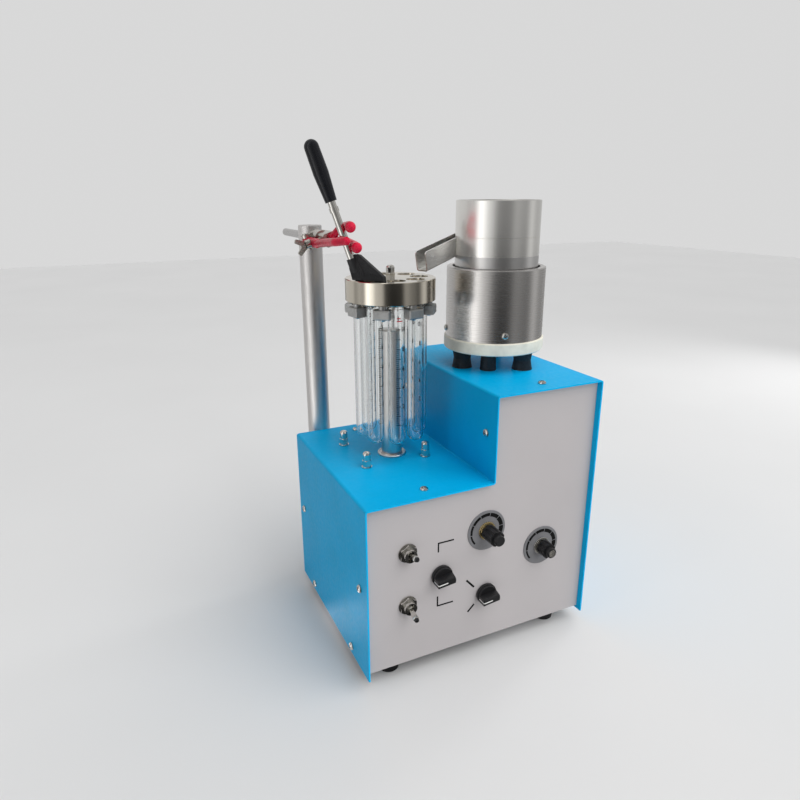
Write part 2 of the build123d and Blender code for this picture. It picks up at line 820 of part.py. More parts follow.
def make_selector_knob(x, z):
    skirt_y = panel_y - 0.9
    height = selector_out - 0.9
    skirt = pin(selector_r, 2.6)
    body = Pos(0, 0, 2.6) * Cone(selector_r - 0.7, selector_r - 2.2, height - 2.6, align=UP)
    bar = Rot(0, 0, 180) * block(-selector_r, selector_r + 2, -pointer_w / 2, pointer_w / 2, 5.0, height + 1)
    sides = pin(2 * selector_r, height, z=5.0) - bar
    body -= sides
    nose = Pos(selector_r - 2.4, 0, 5.0) * Box(4.4, pointer_w, height - 5.0, align=UP)
    body = chamfer((body + nose).faces().sort_by(Axis.Z)[-1].edges(), 0.7)
    knob = Pos(x, skirt_y, case_z + z) * Rot(90, 0, 0) * Rot(0, 0, pointer_angle) * (skirt + body)
    return knob + pin_y(knob_shaft_r, skirt_y - 1.0, panel_y + sheet + 9.5, x, case_z + z)


def make_rate_knob(x, z, out):
    y_low = panel_y - dial_t - 3.4 - part_gap
    length = out - (panel_y - y_low)
    knob = pin(rate_knob_r, length - 5.0) + pin(rate_knob_r - 2.4, length)
    knob = chamfer(knob.edges().group_by(Axis.Z)[-1], 0.6)
    for a, fx, fy in round_places(8, rate_knob_r + 0.7):
        knob -= pin(1.7, length - 7.0, fx, fy, 2.0)
    knob = Pos(x, y_low, case_z + z) * Rot(90, 0, 0) * knob
    return knob + pin_y(knob_shaft_r, y_low - 1.0, panel_y + sheet + 6.5, x, case_z + z)


def make_power_inlet():
    z = case_z + inlet_z
    pw, ph = inlet_plate
    bw, bh = inlet_body
    cw, ch = inlet_cavity
    y = rear_y
    plate = block(inlet_x - pw / 2, inlet_x + pw / 2, y, y + 2.4, z - ph / 2, z + ph / 2)
    plate = fillet(plate.edges().filter_by(Axis.Y), 4.0)
    body = block(inlet_x - bw / 2, inlet_x + bw / 2, y - inlet_depth, y, z - bh / 2, z + bh / 2)
    cavity = block(inlet_x - cw / 2, inlet_x + cw / 2, y - inlet_depth + 2.5, y + 3, z - ch / 2, z + ch / 2)
    cavity = chamfer(cavity.edges().filter_by(Axis.Y).group_by(Axis.Z)[-1], 4.0)
    inlet = plate + body - cavity
    for dx, dz in ((-7.0, -2.0), (0.0, 2.0), (7.0, -2.0)):
        inlet += block(inlet_x + dx - 1, inlet_x + dx + 1, y - inlet_depth, y - 4.5, z + dz - 2, z + dz + 2)
    for side in (-1, 1):
        inlet -= pin_y(1.6, y - 3, y + 3, inlet_x + side * 20.0, z)
    return inlet


def make_inlet_screws():
    screw = pan_screw(1.5, 2.8, 1.8, 6.0)
    y = rear_y + 2.4
    return [Pos(inlet_x + side * 20.0, y, case_z + inlet_z) * Rot(-90, 0, 0) * screw for side in (-1, 1)]


def make_controller_board():
    z = base_z + base_t
    x0, y0 = 132.0, 52.0
    board = block(x0, x0 + 90, y0, y0 + 80, z + 8.0, z + 9.6)
    for dx in (5, 85):
        for dy in (5, 75):
            board += pin(3.0, 8.0, x0 + dx, y0 + dy, z)
    board += block(x0 + 10, x0 + 50, y0 + 12, y0 + 46, z + 9.6, z + 42)
    board += pin(9.0, 28.0, x0 + 70, y0 + 24, z + 9.6)
    board += block(x0 + 58, x0 + 82, y0 + 48, y0 + 70, z + 9.6, z + 24)
    return board


def make_post():
    post = pin(post_r, post_z - case_z - post_low, post_x, post_y, case_z + post_low)
    post = chamfer(post.edges().group_by(Axis.Z)[-1], 0.8)
    post -= pin_y(rod_r + rod_gap, post_y - 20, post_y + 20, post_x, clamp_z)
    post -= pin(set_screw_r, post_z - clamp_z, post_x, post_y, clamp_z)
    for z in saddle_z:
        post -= pin_y(set_screw_r, post_y - post_r - 1, post_y + 3, post_x, case_z + z)
    return post


def make_post_saddles():
    parts = []
    half = saddle_w / 2
    for z in saddle_z:
        zc = case_z + z
        saddle = block(post_x - half, post_x + half, rear_y, post_y - 6.0, zc - saddle_h / 2, zc + saddle_h / 2)
        saddle -= pin(post_r, post_z, post_x, post_y, case_z)
        saddle -= pin_y(set_screw_r + 0.2, rear_y - 1, post_y, post_x, zc)
        parts.append(saddle)
    return group(parts)


def make_post_screws():
    y = rear_y - sheet
    length = post_y + 1 - y
    cap = pin(5.0, 6.0) - Pos(0, 0, 3.0) * hexagon(5.0, 3.2)
    bolt = cap + pin(set_screw_r, length, z=-length)
    parts = [Pos(post_x, y, case_z + z) * Rot(90, 0, 0) * bolt for z in saddle_z]
    grub_low = clamp_z + rod_r + part_gap
    grub = pin(set_screw_r, post_z - 0.6 - grub_low) - Pos(0, 0, post_z - 3.4 - grub_low) * hexagon(3.0, 3)
    parts.append(Pos(post_x, post_y, grub_low) * grub)
    return group(parts)


def clamp_place():
    return Location((post_x, clamp_y, clamp_z), (0, -clamp_roll, 0))


def make_clamp_rod():
    y0 = clamp_y + 24.0
    rod = pin_y(rod_r, y0, post_y + rod_back, post_x, clamp_z)
    return chamfer(rod.edges().group_by(Axis.Y)[-1], 0.8)


def make_clamp_body():
    mid = block(-4.5, 8.0, 0, clamp_len - 10, -6.5, 6.5)
    mid = fillet(mid.edges().filter_by(Axis.Y), 2.5)
    boss = pin_y(8.0, 18.0, clamp_len, 0, 0)
    boss = chamfer(boss.edges().group_by(Axis.Y)[-1], 1.0)
    ears = Pos(-jaw_pivot_side, jaw_pivot_back, 0) * Cylinder(4.8, 14.0)
    ears += block(-jaw_pivot_side, 0, jaw_pivot_back - 4.8, jaw_pivot_back + 4.8, -7.0, 7.0)
    gap = block(-20, 0.7 - jaw_pivot_side + 4.2, -5, clamp_len + 5, -4.0, 4.0)
    body = mid + boss + ears - gap
    body -= pin_y(rod_r, 23.7, clamp_len + 1, 0, 0)
    body -= Pos(-jaw_pivot_side, jaw_pivot_back, 0) * Cylinder(jaw_pin_r, 20.0)
    body -= pin_x(jaw_screw_r + run_gap, -20, 6.0, jaw_screw_back, 0)
    return clamp_place() * body


def make_jaw_pin():
    rivet = Cylinder(jaw_pin_r, 14.0)
    for side in (-7.0, 7.0):
        cap = Pos(0, 0, side) * Cylinder(3.0, 1.6)
        rivet += cap & Pos(0, 0, side) * Sphere(3.05)
    rivet -= ring(9.0, jaw_pin_r, 14.0, 0, 0, -7.0)
    return clamp_place() * Pos(-jaw_pivot_side, jaw_pivot_back, 0) * rivet


def pipe(points, radius, bends):
    path = FilletPolyline(*points, radius=bends)
    return sweep(Plane(path @ 0, z_dir=path % 0) * Circle(radius), path=path)


def make_fixed_jaw():
    x_in = brush_side + brush_tube_r + prong_r + 0.9
    jaw = block(0.5, 7.5, -6.0, -0.1, -5.0, 5.0)
    jaw = fillet(jaw.edges().filter_by(Axis.Y), 1.5)
    for side in (-1, 1):
        z = jaw_lift + side * prong_spread
        points = [(4.0, -1.0, side * 2.0), (x_in + 3.4, -15.0, 0.7 * z), (x_in, -brush_reach, z),
                  (x_in - 4.0, -brush_reach - jaw_hook, z)]
        jaw += pipe(points, prong_r, 7.0)
        jaw += Pos(*points[-1]) * Sphere(prong_ball_r)
        jaw += Pos(*points[0]) * Sphere(prong_r)
    jaw -= block(-10, 10, -0.1, 9, -20, 20)
    return clamp_place() * jaw


def make_moving_jaw():
    xp = -jaw_pivot_side
    x_out = brush_side - brush_tube_r - finger_r - 1.7
    tip_z = jaw_lift - 0.6
    eye = Pos(xp, jaw_pivot_back, 0) * Cylinder(4.6, 7.4)
    arm = block(xp - 2.4, xp + 2.4, 2.0, jaw_pivot_back - 2.0, -3.7, 3.7)
    arm = (arm + eye) - Pos(xp, jaw_pivot_back, 0) * Cylinder(jaw_pin_r + run_gap, 20.0)
    arm -= pin_x(jaw_screw_r + 1.1, xp - 6, xp + 6, jaw_screw_back, 0)
    points = [(xp, 3.6, 0), (x_out, -14.0, 0.4 * tip_z), (x_out, 1.0 - brush_reach, tip_z),
              (x_out + 5.4, -brush_reach - jaw_hook, tip_z)]
    finger = pipe(points, finger_r, 8.0)
    tip = Pos(*points[-1]) * Sphere(finger_r)
    heel = Pos(*points[0]) * Sphere(finger_r)
    return clamp_place() * (arm + finger + tip + heel)


def make_jaw_screw():
    x_seat = -jaw_pivot_side - 2.4 - part_gap
    shank = pin_x(jaw_screw_r, x_seat, 5.0, jaw_screw_back, 0)
    head = pin_x(4.2, x_seat - 5.0, x_seat, jaw_screw_back, 0)
    wing = Pos(x_seat - 4.0, jaw_screw_back, 0) * Rot(0, -90, 0) * wing_plate()
    return clamp_place() * (shank + head + wing)


def wing_plate():
    half = make_face(Polyline((-3.2, 0), (3.2, 0), (8.4, 8.6), (5.0, 10.6), (0, 4.8), (-5.0, 10.6),
                              (-8.4, 8.6), close=True))
    half = fillet(half.vertices(), 1.2)
    plate = extrude(Plane.XZ * half, amount=1.4, both=True)
    return plate


def brush_place():
    # Places the tool axis by its crossing point between the jaws
    return clamp_place() * Pos(brush_side, -brush_reach, 0) * Rot(-brush_back_lean, 0, 0)


def make_brush_tube():
    low = -22.0
    tube = pin(brush_tube_r, brush_tube_up - low, z=low)
    tube += pin(brush_tube_r + 0.7, 4.0, z=grip_low - 9.0)
    return brush_place() * tube


def make_brush_grip():
    r_end = grip_r - 0.4
    waist = grip_low + 24.0
    round_z = grip_low + grip_len - r_end
    grip = Pos(0, 0, grip_low) * Cone(grip_r - 1.6, grip_r, waist - grip_low, align=UP)
    grip += Pos(0, 0, waist) * Cone(grip_r, r_end, round_z - waist, align=UP)
    grip += Pos(0, 0, round_z) * Sphere(r_end)
    grip -= pin(brush_tube_r, brush_tube_up - grip_low, z=grip_low)
    return brush_place() * grip


def make_brush_head():
    with BuildSketch(Plane.XZ) as profile:
        with BuildLine():
            Line((0, 0), (30.2, 0))
            Line((30.2, 0), (29.3, 4.3))
            Line((29.3, 4.3), (4.0, 22.4))
            Line((4.0, 22.4), (-5.5, 21.4))
            Line((-5.5, 21.4), (-3.6, 9.2))
            Line((-3.6, 9.2), (0, 0))
        make_face()
    slab = extrude(profile.sketch, amount=brush_t / 2, both=True)
    foot = Pos(brush_foot_x, brush_foot_y, head_top + part_gap)
    slab = foot * Rot(0, 0, brush_turn) * Rot(-brush_lean, 0, 0) * slab
    socket = brush_place() * pin(brush_tube_r + 1.2, 13.0, z=-26.0)
    head = slab + socket - brush_place() * pin(brush_tube_r, 60.0, z=-22.0)
    return head - block(0, 80, 50, 130, head_top - 20, head_top + part_gap)


def housing_nodes():
    return {
        "cover": make_cover(),
        "front_panel": make_front_panel(),
        "rear_panel": make_rear_panel(),
        "base_plate": make_base_plate(),
        "feet": make_feet(),
        "case_screws": group([make_case_screws(), make_foot_screws(), make_drum_screws()]
                             + make_inlet_screws()),
        "gear_motor": make_gear_motor(),
        "motor_studs": make_motor_studs(),
        "motor_dome_nuts": make_motor_nuts(),
        "spindle_flange": make_spindle_flange(),
        "power_inlet": make_power_inlet(),
        "controller_board": make_controller_board(),
        "toggle_switches": make_toggle_switches(),
        "selector_switches": make_selector_switches(),
        "potentiometers": make_potentiometers(),
        "dial_plates": make_dial_plates(),
        "control_nuts": make_control_nuts(),
        "stand_post": make_post(),
        "post_saddles": make_post_saddles(),
        "post_screws": make_post_screws(),
        "feeder_feet": make_feeder_feet(),
        "feeder_base": make_feeder_base(),
        "feeder_drum": make_feeder_drum(),
        "feeder_magnet": make_feeder_magnet(),
        "feeder_springs": make_feeder_springs(),
        "dust_seal": make_dust_seal(),
    }


def collector_nodes():
    nodes = {
        "output_shaft": make_output_shaft(),
        "spindle_column": make_spindle_column(),
        "head_shaft": make_head_shaft(),
        "collector_head": make_collector_head(),
        "head_dome_nut": Pos(spindle_x, spindle_y, head_top) * dome_nut(8.4, 4.2, 11.2, head_shaft_r, 9.2),
        "tube_blocks": make_tube_blocks(),
        "block_screws": make_block_screws(),
    }
    for i, tube in enumerate(make_test_tubes()):
        nodes[f"test_tube_{i + 1}"] = tube
    return nodes


def bowl_nodes():
    return {
        "bowl_carrier": make_bowl_carrier(),
        "feed_bowl": make_feed_bowl(),
        "discharge_chute": make_chute(),
        "hopper": make_hopper(),
    }


def control_nodes():
    return {
        "collector_toggle": make_toggle_lever(toggle_z[0], toggle_lean),
        "feeder_toggle": make_toggle_lever(toggle_z[1], -toggle_lean),
        "mode_knob": make_selector_knob(*selector_at[0]),
        "speed_knob": make_selector_knob(*selector_at[1]),
        "collector_rate_knob": make_rate_knob(*dial_at[0], rate_knob_out[0]),
        "feed_rate_knob": make_rate_knob(*dial_at[1], rate_knob_out[1]),
    }


def clamp_nodes():
    return {
        "clamp_rod": make_clamp_rod(),
        "clamp_body": make_clamp_body(),
        "jaw_pin": make_jaw_pin(),
        "fixed_jaw": make_fixed_jaw(),
        "brush_tube": make_brush_tube(),
        "brush_grip": make_brush_grip(),
        "brush_head": make_brush_head(),
        "moving_jaw": make_moving_jaw(),
        "jaw_screw": make_jaw_screw(),
    }


def build():
    nodes = {}
    for part in (housing_nodes, collector_nodes, bowl_nodes, control_nodes, clamp_nodes):
        nodes.update(part())
    return nodes


def standing_shift(nodes):
    box = group(nodes.values()).bounding_box()
    mid = box.center()
    return -mid.X, -mid.Y, -box.min.Z


nodes = build()
shift = standing_shift(nodes)
os.makedirs("parts", exist_ok=True)
for name, shape in nodes.items():
    export_step(group([Pos(*shift) * solid for solid in shape.solids()]), f"parts/{name}.step")
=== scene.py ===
import math
import random

import bmesh
import bpy
from mathutils import Matrix, Vector


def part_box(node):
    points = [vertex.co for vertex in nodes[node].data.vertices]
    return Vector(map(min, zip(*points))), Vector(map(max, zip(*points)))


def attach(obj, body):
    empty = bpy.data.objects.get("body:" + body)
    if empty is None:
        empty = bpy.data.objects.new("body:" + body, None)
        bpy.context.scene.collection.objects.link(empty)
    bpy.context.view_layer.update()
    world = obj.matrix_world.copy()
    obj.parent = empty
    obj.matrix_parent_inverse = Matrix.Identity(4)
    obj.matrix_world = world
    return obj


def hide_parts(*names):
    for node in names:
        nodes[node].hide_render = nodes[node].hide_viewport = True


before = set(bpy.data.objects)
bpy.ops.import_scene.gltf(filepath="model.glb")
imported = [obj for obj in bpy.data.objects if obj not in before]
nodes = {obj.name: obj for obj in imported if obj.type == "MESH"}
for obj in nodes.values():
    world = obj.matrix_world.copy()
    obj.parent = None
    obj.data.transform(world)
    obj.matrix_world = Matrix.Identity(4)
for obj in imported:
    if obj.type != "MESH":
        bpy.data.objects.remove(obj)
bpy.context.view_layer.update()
scene = bpy.context.scene
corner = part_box("cover")[0]

# Sizes in millimetres and angles in degrees, from the case's front left corner on the floor
CASE_W = 240.0
CASE_D = 196.0
CASE_Z = 12.0
STEP_X = 124.5
LOW_DECK = 182.5
HIGH_DECK = 263.5
UP, DOWN = (0, 0, 1), (0, 0, -1)
LEFT, RIGHT, REARWARD = (-1, 0, 0), (1, 0, 0), (0, 1, 0)

# Screws, by their distance from the case's front and rear edges or their place
DECK_SCREW_INSET = 16.3
SIDE_SCREW_Z = 100.0
STEP_SCREW_Z = 225.0
LOW_SCREW_INSET, LOW_SCREW_Z = 42.0, 20.5
FOOT_SCREWS_X, FOOT_SCREW_INSET, FOOT_SCREW_Z = (30.0, 210.0), 25.0, 8.5
INLET_SCREWS_X, INLET_SCREW_Y, INLET_SCREW_Z = (176.0, 216.0), 192.4, 52.0
DRUM_AXIS, DRUM_R, DRUM_SCREW_Z = (181.3, 98.0), 47.7, 301.7
DRUM_SCREW_ANGLES = (160, 250, 340, 70)

# Front panel and its controls, with heights above the case's lower edge
PANEL_Y = 6.0
PRINT_GAP = 0.01
PRINT_T = 0.06
SELECTORS = ((74.9, 87.1, "mode_knob_set"), (123.3, 54.0, "speed_knob_set"))
POINTER_ANGLE = 186.0
SKIRT_GAP = 0.9
KNOB_FACE = 13.6
DIALS = ((121.8, 121.3), (185.2, 89.6))
DIAL_T = 1.0
DIAL_SCALE_R = 17.6
FEED_KNOB_OUT = 18.8
TOGGLES = ((118.7, 14.0, "collector_toggle_set"), (65.4, -14.0, "feeder_toggle_set"))
TOGGLE_X = 41.0
TOGGLE_PIVOT_Y = 2.2

# Tubes and their print, with its heights above the start of the scale
SPINDLE = (71.1, 104.0)
TUBE_CIRCLE = 27.0
TUBE_R = 8.0
TUBE_COUNT = 8
FIRST_TUBE = 257.0
SCALE_Z = 224.0
TUBE_PRINT_T = 0.03
NUMBER_GAP = 0.015
NUMBER_ACROSS, NUMBER_PITCH = 7.4, 18.0
BAR_Z, BAR_PITCH = 97.5, 2.4
DASH_CELLS = 6

# Brush head: the corner its bristles start from, and how it is turned
BRUSH_PLACE = (33.0, 97.0)
BRUSH_TURN, BRUSH_LEAN = -49.9, -8.7
BRISTLES_A_FACE = 90

# Camera, with its place in metres in the shared frame
CAMERA_PLACE = (-0.2885, -0.57005, 0.429)
CAMERA_YAW, CAMERA_PITCH, CAMERA_ROLL = 25.04, 18.14, -0.26
CAMERA_LENS = 28.456

# Compass angle and brightness of the soft bands that polished metal mirrors
MIRROR_BANDS = (
    (0, 0.25), (65, 0.6), (120, 0.5), (140, 0.5), (150, 0.3), (165, 0.45), (177, 0.35), (188, 1.9),
    (200, 1.3), (210, 0.6), (224, 0.5), (234, 0.05), (250, 0.02), (272, 0.03), (284, 0.3), (302, 0.18),
    (318, 0.1), (338, 0.6), (354, 0.25))


def at(x, y, z):
    """A place in metres in the shared frame, from millimetres on the case."""
    return Vector((corner.x + x / 1000.0, corner.y + y / 1000.0, z / 1000.0))


def placed(x, y, z, turn):
    return Matrix.Translation(at(x, y, z)) @ turn


def turned(axis, degrees):
    return Matrix.Rotation(math.radians(degrees), 4, axis)


def on_panel(x, z, out, spin=0.0):
    """A place that faces out of the front panel, at a distance before it and turned by an angle."""
    return placed(x, PANEL_Y - out, CASE_Z + z, turned("X", 90) @ turned("Z", spin))


# Finishes

class Finish:
    """A Principled material and the nodes that vary it, on Object coordinates."""

    def __init__(self, name, colour, rough, metal=0.0):
        self.material = bpy.data.materials.new(name)
        self.material.use_nodes = True
        self.tree = self.material.node_tree
        self.shader = self.tree.nodes["Principled BSDF"]
        self.shader.inputs["Metallic"].default_value = metal
        self.shader.inputs["Roughness"].default_value = rough
        self.shader.inputs["Base Color"].default_value = (*colour, 1.0)
        self.colour = colour
        self.rough = rough
        self.where = self.tree.nodes.new("ShaderNodeTexCoord").outputs["Object"]
        self.normal = None

    def join(self, source, target):
        self.tree.links.new(source, target)

    def noise(self, cell, stretch=(1, 1, 1), detail=3.0):
        """A noise with grains of cell metres; a stretch under one draws them out along that axis."""
        mapping = self.tree.nodes.new("ShaderNodeMapping")
        mapping.inputs["Scale"].default_value = stretch
        self.join(self.where, mapping.inputs["Vector"])
        noise = self.tree.nodes.new("ShaderNodeTexNoise")
        noise.inputs["Scale"].default_value = 1.0 / cell
        noise.inputs["Detail"].default_value = detail
        self.join(mapping.outputs["Vector"], noise.inputs["Vector"])
        return noise.outputs["Fac"]

    def ranged(self, source, low, high):
        """Spreads a noise, which keeps mostly between 0.3 and 0.7, from low to high."""
        node = self.tree.nodes.new("ShaderNodeMapRange")
        node.inputs["From Min"].default_value = 0.3
        node.inputs["From Max"].default_value = 0.7
        node.inputs["To Min"].default_value = low
        node.inputs["To Max"].default_value = high
        self.join(source, node.inputs["Value"])
        return node.outputs["Result"]

    def tint(self, source, spread):
        """Colour that drifts between a darker and a lighter shade."""
        mix = self.tree.nodes.new("ShaderNodeMix")
        mix.data_type = "RGBA"
        dark = [c * (1.0 - spread) for c in self.colour]
        light = [min(1.0, c * (1.0 + spread)) for c in self.colour]
        mix.inputs["A"].default_value = (*dark, 1.0)
        mix.inputs["B"].default_value = (*light, 1.0)
        self.join(self.ranged(source, 0.0, 1.0), mix.inputs["Factor"])
        self.join(mix.outputs["Result"], self.shader.inputs["Base Color"])
        return self

    def gloss(self, source, low, high):
        rough = self.ranged(source, self.rough * low, self.rough * high)
        self.join(rough, self.shader.inputs["Roughness"])
        return self

    def relief(self, source, depth, strength=1.0):
        bump = self.tree.nodes.new("ShaderNodeBump")
        bump.inputs["Strength"].default_value = strength
        bump.inputs["Distance"].default_value = depth
        self.join(source, bump.inputs["Height"])
        if self.normal:
            self.join(self.normal, bump.inputs["Normal"])
        self.normal = bump.outputs["Normal"]
        self.join(self.normal, self.shader.inputs["Normal"])
        return self

    def fixed(self, **values):
        names = {"coat": "Coat Weight", "coat_rough": "Coat Roughness", "glass": "Transmission Weight",
                 "ior": "IOR", "brushed": "Anisotropic", "specular": "Specular IOR Level"}
        for key, value in values.items():
            self.shader.inputs[names[key]].default_value = value
        return self


def powder_coat(name, colour):
    f = Finish(name, colour, 0.42)
    f.tint(f.noise(0.05), 0.05)
    f.gloss(f.noise(0.004), 0.85, 1.2)
    f.relief(f.noise(0.0011, detail=2.0), 0.00006, 0.45)
    return f.fixed(specular=0.1)


def painted_panel(name, colour):
    f = Finish(name, colour, 0.42)
    f.tint(f.noise(0.09), 0.025)
    f.gloss(f.noise(0.006), 0.9, 1.15)
    return f.relief(f.noise(0.0006, detail=2.0), 0.00002, 0.4)


def turned_metal(name, colour, rough, brushed=0.6, depth=0.000006, spread=0.12):
    """Metal with fine rings round an upright axis, as a lathe or a rolled and brushed sheet leaves."""
    f = Finish(name, colour, rough, metal=1.0)
    rings = f.noise(0.032, (1, 1, 200), 2.0)
    f.tint(f.noise(0.05, (1, 1, 0.3), 1.0), spread)
    f.gloss(rings, 0.93, 1.08)
    return f.relief(rings, depth, 0.3).fixed(brushed=brushed)


def drawn_metal(name, colour, rough, stretch=(1, 1, 0.02), brushed=0.4):
    """Metal with fine lines along its length."""
    f = Finish(name, colour, rough, metal=1.0)
    lines = f.noise(0.0005, stretch, 3.0)
    f.tint(f.noise(0.02, stretch), 0.1)
    f.gloss(lines, 0.75, 1.35)
    return f.relief(lines, 0.000012, 0.5).fixed(brushed=brushed)


def plain_metal(name, colour, rough):
    f = Finish(name, colour, rough, metal=1.0)
    f.tint(f.noise(0.006), 0.1)
    f.gloss(f.noise(0.0015), 0.7, 1.5)
    return f.relief(f.noise(0.0009), 0.00001, 0.12)


def moulded(name, colour, rough, grain=0.0005, depth=0.00002, coat=0.0):
    f = Finish(name, colour, rough)
    f.tint(f.noise(0.012), 0.12)
    f.gloss(f.noise(0.0025), 0.85, 1.25)
    return f.relief(f.noise(grain, detail=2.0), depth, 0.6).fixed(coat=coat, coat_rough=0.12)


def dipped(name, colour, rough):
    """Soft coating dipped on, with low slow waves and a soft gloss."""
    f = Finish(name, colour, rough)
    f.tint(f.noise(0.009), 0.14)
    f.gloss(f.noise(0.003), 0.8, 1.4)
    f.relief(f.noise(0.008, detail=1.0), 0.00015, 0.3)
    return f.fixed(coat=0.06, coat_rough=0.08, specular=0.3)


def clear_glass(name):
    f = Finish(name, (0.985, 0.995, 0.995), 0.01)
    f.gloss(f.noise(0.02), 0.4, 3.0)
    return f.fixed(glass=1.0, ior=1.47)


BLUE = powder_coat("blue_powder_paint", (0.0, 0.44, 0.82))
WHITE = painted_panel("warm_white_panel", (0.50, 0.475, 0.48))
ZINC = plain_metal("plated_base_sheet", (0.5, 0.5, 0.52), 0.45)
STEEL = plain_metal("bright_screw_steel", (0.62, 0.6, 0.57), 0.2)
DRUM = turned_metal("brushed_drum_steel", (0.64, 0.62, 0.60), 0.26, spread=0.05)
HOPPER = turned_metal("turned_hopper", (0.90, 0.885, 0.85), 0.25, depth=0.000005, spread=0.04)
CHUTE = drawn_metal("brushed_chute_sheet", (0.93, 0.91, 0.89), 0.33, (0.06, 0.06, 1.0), 0.3)
NICKEL = turned_metal("polished_nickel", (0.66, 0.61, 0.52), 0.14, brushed=0.55)
CHROME = plain_metal("bright_nickel_nuts", (0.68, 0.66, 0.62), 0.13)
POST = drawn_metal("brushed_post", (0.72, 0.70, 0.685), 0.42, brushed=0.2)
COLUMN = turned_metal("satin_column", (0.66, 0.65, 0.64), 0.3, brushed=0.5)
ROD = drawn_metal("drawn_rod", (0.55, 0.54, 0.53), 0.3, (1, 0.02, 1))
CAST = plain_metal("plated_casting", (0.60, 0.57, 0.52), 0.24)
BLOCKS = plain_metal("sawn_aluminium_block", (0.52, 0.52, 0.51), 0.5)
RUBBER = moulded("soft_black_rubber", (0.012, 0.012, 0.014), 0.62, 0.0008, 0.00006)
PLASTIC = moulded("moulded_black_plastic", (0.012, 0.012, 0.013), 0.38, 0.00035, 0.00002)
SHEATH = dipped("black_vinyl_sheath", (0.006, 0.0065, 0.009), 0.26)
RED = dipped("red_vinyl_dip", (0.62, 0.008, 0.045), 0.28)
IVORY = moulded("cream_base_plastic", (0.80, 0.77, 0.66), 0.36, 0.0012, 0.00003, 0.1)
GLASS = clear_glass("clear_tube_glass")
MOTOR = painted_panel("grey_motor_paint", (0.11, 0.12, 0.13))
BOARD = moulded("circuit_board_green", (0.02, 0.12, 0.05), 0.45)
SPRING = drawn_metal("leaf_spring_steel", (0.42, 0.42, 0.42), 0.35)
DIAL = moulded("satin_dial_plate", (0.19, 0.19, 0.20), 0.45, 0.0004, 0.000008)
BRISTLE = moulded("black_bristle", (0.010, 0.010, 0.011), 0.55, 0.0003, 0.00008)
INK = moulded("black_ink", (0.008, 0.008, 0.008), 0.6, 0.0004, 0.000004).fixed(specular=0.15)
RED_INK = moulded("red_ink", (0.42, 0.02, 0.03), 0.5, 0.0004, 0.000004)
WHITE_INK = moulded("white_ink", (0.78, 0.78, 0.76), 0.45, 0.0004, 0.000004)
BRASS = plain_metal("brass_nut", (0.72, 0.55, 0.26), 0.25)

WORN_BY = {
    BLUE: ("cover", "rear_panel"),
    WHITE: ("front_panel",),
    ZINC: ("base_plate",),
    STEEL: ("case_screws", "motor_studs", "post_screws", "block_screws", "output_shaft", "head_shaft",
            "jaw_pin"),
    DRUM: ("feeder_drum",),
    HOPPER: ("hopper", "feed_bowl"),
    CHUTE: ("discharge_chute",),
    NICKEL: ("collector_head",),
    CHROME: ("motor_dome_nuts", "head_dome_nut", "toggle_switches", "control_nuts", "collector_toggle",
             "feeder_toggle", "brush_tube"),
    POST: ("stand_post", "post_saddles"),
    COLUMN: ("spindle_column", "spindle_flange", "bowl_carrier"),
    ROD: ("clamp_rod",),
    CAST: ("clamp_body", "jaw_screw"),
    BLOCKS: ("tube_blocks",),
    RUBBER: ("feet", "feeder_feet", "dust_seal"),
    PLASTIC: ("power_inlet", "selector_switches", "mode_knob", "speed_knob", "collector_rate_knob",
              "feed_rate_knob"),
    SHEATH: ("brush_grip",),
    RED: ("fixed_jaw", "moving_jaw"),
    IVORY: ("feeder_base",),
    GLASS: tuple(f"test_tube_{i + 1}" for i in range(TUBE_COUNT)),
    MOTOR: ("gear_motor", "potentiometers", "feeder_magnet"),
    BOARD: ("controller_board",),
    SPRING: ("feeder_springs",),
    DIAL: ("dial_plates",),
    BRISTLE: ("brush_head",),
}


def wear(thing, finish):
    thing.data.materials.clear()
    thing.data.materials.append(finish.material)


for finish, names in WORN_BY.items():
    for name in names:
        wear(nodes[name], finish)


# Meshes

def new_object(name, mesh):
    thing = bpy.data.objects.new(name, mesh)
    scene.collection.objects.link(thing)
    return thing


def mesh_object(name, points, faces, place=None):
    mesh = bpy.data.meshes.new(name)
    mesh.from_pydata(points, [], faces)
    built = bmesh.new()
    built.from_mesh(mesh)
    bmesh.ops.remove_doubles(built, verts=built.verts, dist=1e-7)
    bmesh.ops.recalc_face_normals(built, faces=built.faces)
    built.to_mesh(mesh)
    built.free()
    if place:
        mesh.transform(place)
    return new_object(name, mesh)


def fitted(thing, finish, body):
    """Gives a new piece its finish and its body."""
    if finish:
        wear(thing, finish)
    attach(thing, body)
    return thing


def lathe(name, profile, place, steps):
    """Spins (radius, height) points in millimetres round the place's own Z."""
    points = []
    for r, z in profile:
        for i in range(steps):
            a = 2 * math.pi * i / steps
            points.append((r * math.cos(a) / 1000, r * math.sin(a) / 1000, z / 1000))
    faces = []
    rows = len(profile)
    for j in range(rows):
        k = (j + 1) % rows
        for i in range(steps):
            n = (i + 1) % steps
            faces.append((j * steps + i, j * steps + n, k * steps + n, k * steps + i))
    thing = mesh_object(name, points, faces, place)
    for face in thing.data.polygons:
        face.use_smooth = True
    return thing


def strip(outline, thick, place, name="strip"):
    """A thin flat prism: outline points (u, v) in millimetres, lying on the place's XY plane."""
    n = len(outline)
    points = [(u / 1000, v / 1000, 0.0) for u, v in outline]
    points += [(u / 1000, v / 1000, thick / 1000) for u, v in outline]
    faces = [tuple(range(n - 1, -1, -1)), tuple(range(n, 2 * n))]
    faces += [(i, (i + 1) % n, n + (i + 1) % n, n + i) for i in range(n)]
    return mesh_object(name, points, faces, place)


